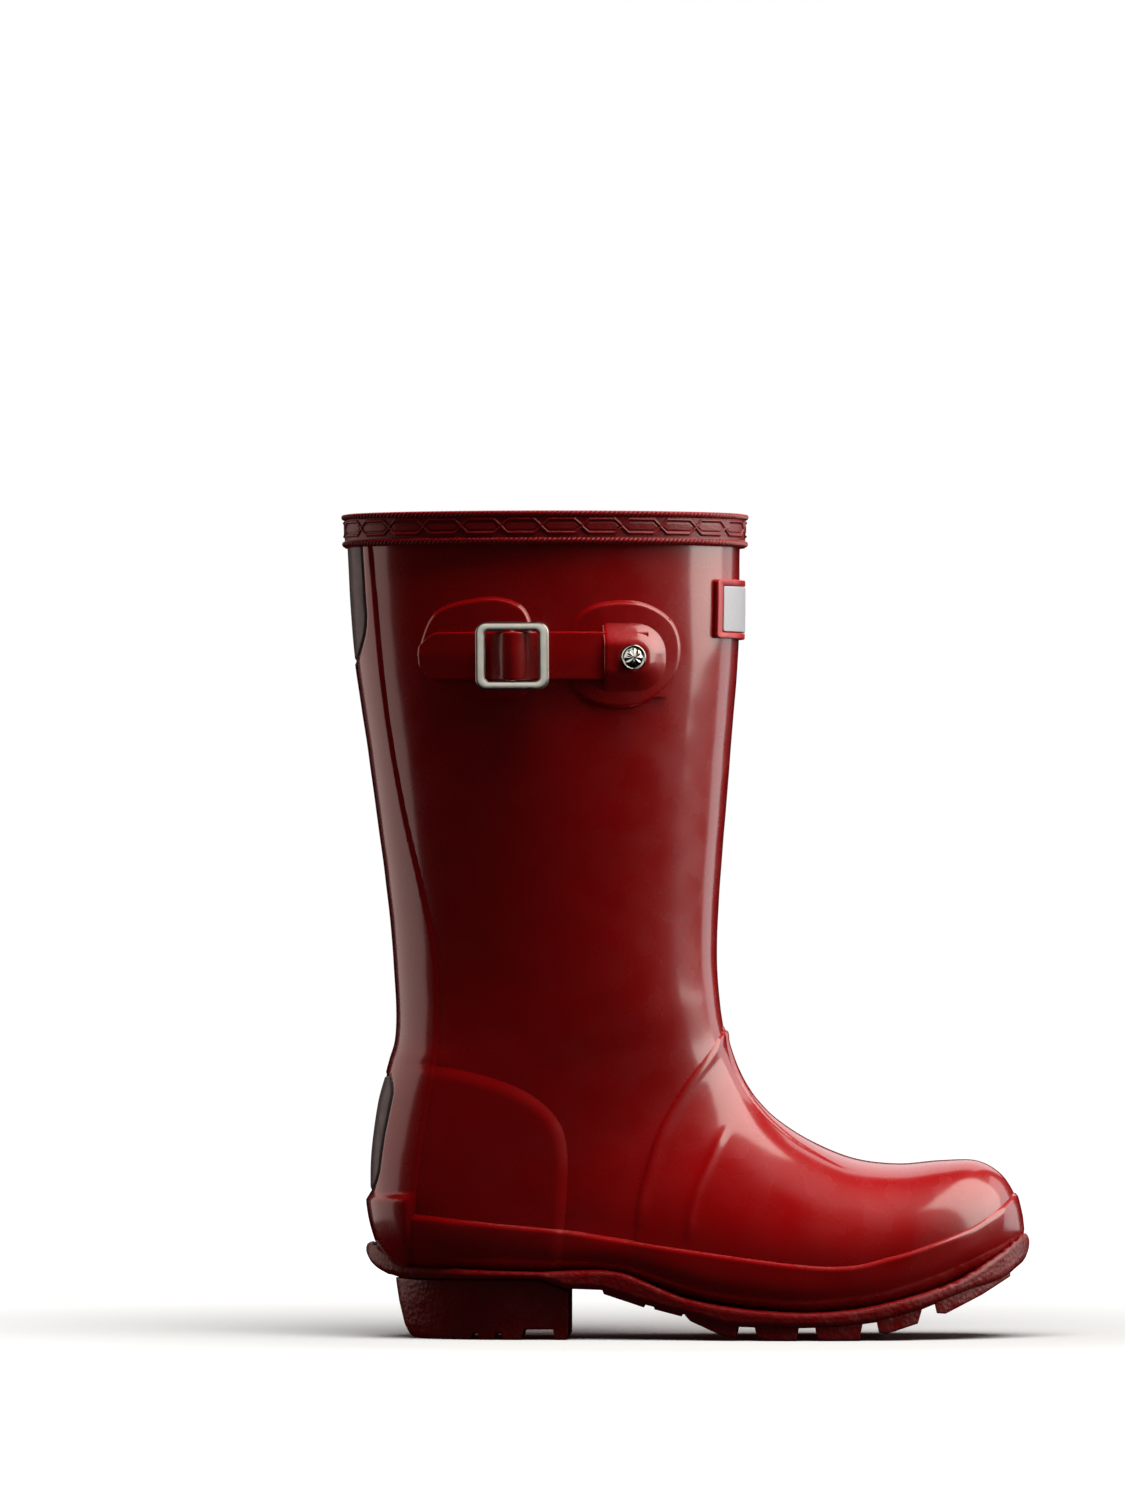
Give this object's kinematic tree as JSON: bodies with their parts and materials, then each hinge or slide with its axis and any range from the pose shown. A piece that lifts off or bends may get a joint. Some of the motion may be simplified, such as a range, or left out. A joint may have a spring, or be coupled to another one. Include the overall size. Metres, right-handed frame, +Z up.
{
  "type": "rain boot",
  "caption": "Child's tall rubber rain boot, right foot, with textile lining, cleated sole and heel, side strap with a slide buckle, stud, front badge and rear reflectors.",
  "frame": {"origin": "on the ground under the middle of the boot's box", "axes": "+X to the toe, +Z up the leg, -Y to the outer side that carries the buckle"},
  "size_m": [0.2184, 0.09, 0.2634],
  "materials": {
    "gloss_rubber": "high gloss lacquered natural rubber, deep red",
    "band_rubber": "embossed satin rubber, deep red",
    "sole_rubber": "semi-matt moulded rubber, deep red",
    "sponge": "open sponge rubber",
    "knit_lining": "knitted polyester",
    "footbed_felt": "needled felt",
    "stiffener": "matt",
    "insole_board": "pressed fibre board",
    "reflector": "grey retroreflective film",
    "badge_rubber": "satin moulded rubber, red",
    "label": "matt white film",
    "nickel": "satin nickel plate",
    "stud_nickel": "polished nickel plate"
  },
  "bodies": {
    "boot": {"leg_shell": "gloss_rubber", "vamp_shell": "gloss_rubber", "leg_lining": "knit_lining", "foot_lining": "knit_lining", "heel_stiffener": "stiffener", "toe_puff": "stiffener", "insole_board": "insole_board", "footbed": "footbed_felt", "heel_counter_lateral": "gloss_rubber", "heel_counter_medial": "gloss_rubber", "back_stay": "gloss_rubber", "upper_reflector": "reflector", "heel_reflector": "reflector", "top_band": "band_rubber", "foxing": "gloss_rubber", "outsole": "sole_rubber", "heel_block": "sole_rubber", "heel_filler": "sponge", "rear_strap_patch": "gloss_rubber", "front_strap_patch": "gloss_rubber", "strap": "gloss_rubber", "badge_frame": "badge_rubber", "badge_label": "label", "stud_cap": "stud_nickel", "stud_rivet": "stud_nickel"},
    "buckle_body": {"buckle": "nickel"},
    "tail_body": {"strap_tail": "gloss_rubber"}
  },
  "joints": [
    {"name": "buckle_rock", "type": "hinge", "parent": "boot", "child": "buckle_body", "pos_m": [-0.054, -0.04203, 0.21718], "axis": [-0.0046, -0.0437, 0.999], "range_deg": [-4, 4], "stiffness_Nm_per_rad": 0.01},
    {"name": "strap_tail_lift", "type": "hinge", "parent": "boot", "child": "tail_body", "pos_m": [-0.06815, -0.03685, 0.21726], "axis": [0.0024, -0.0603, 0.9982], "range_deg": [0, 60], "stiffness_Nm_per_rad": 0.003}
  ]
}
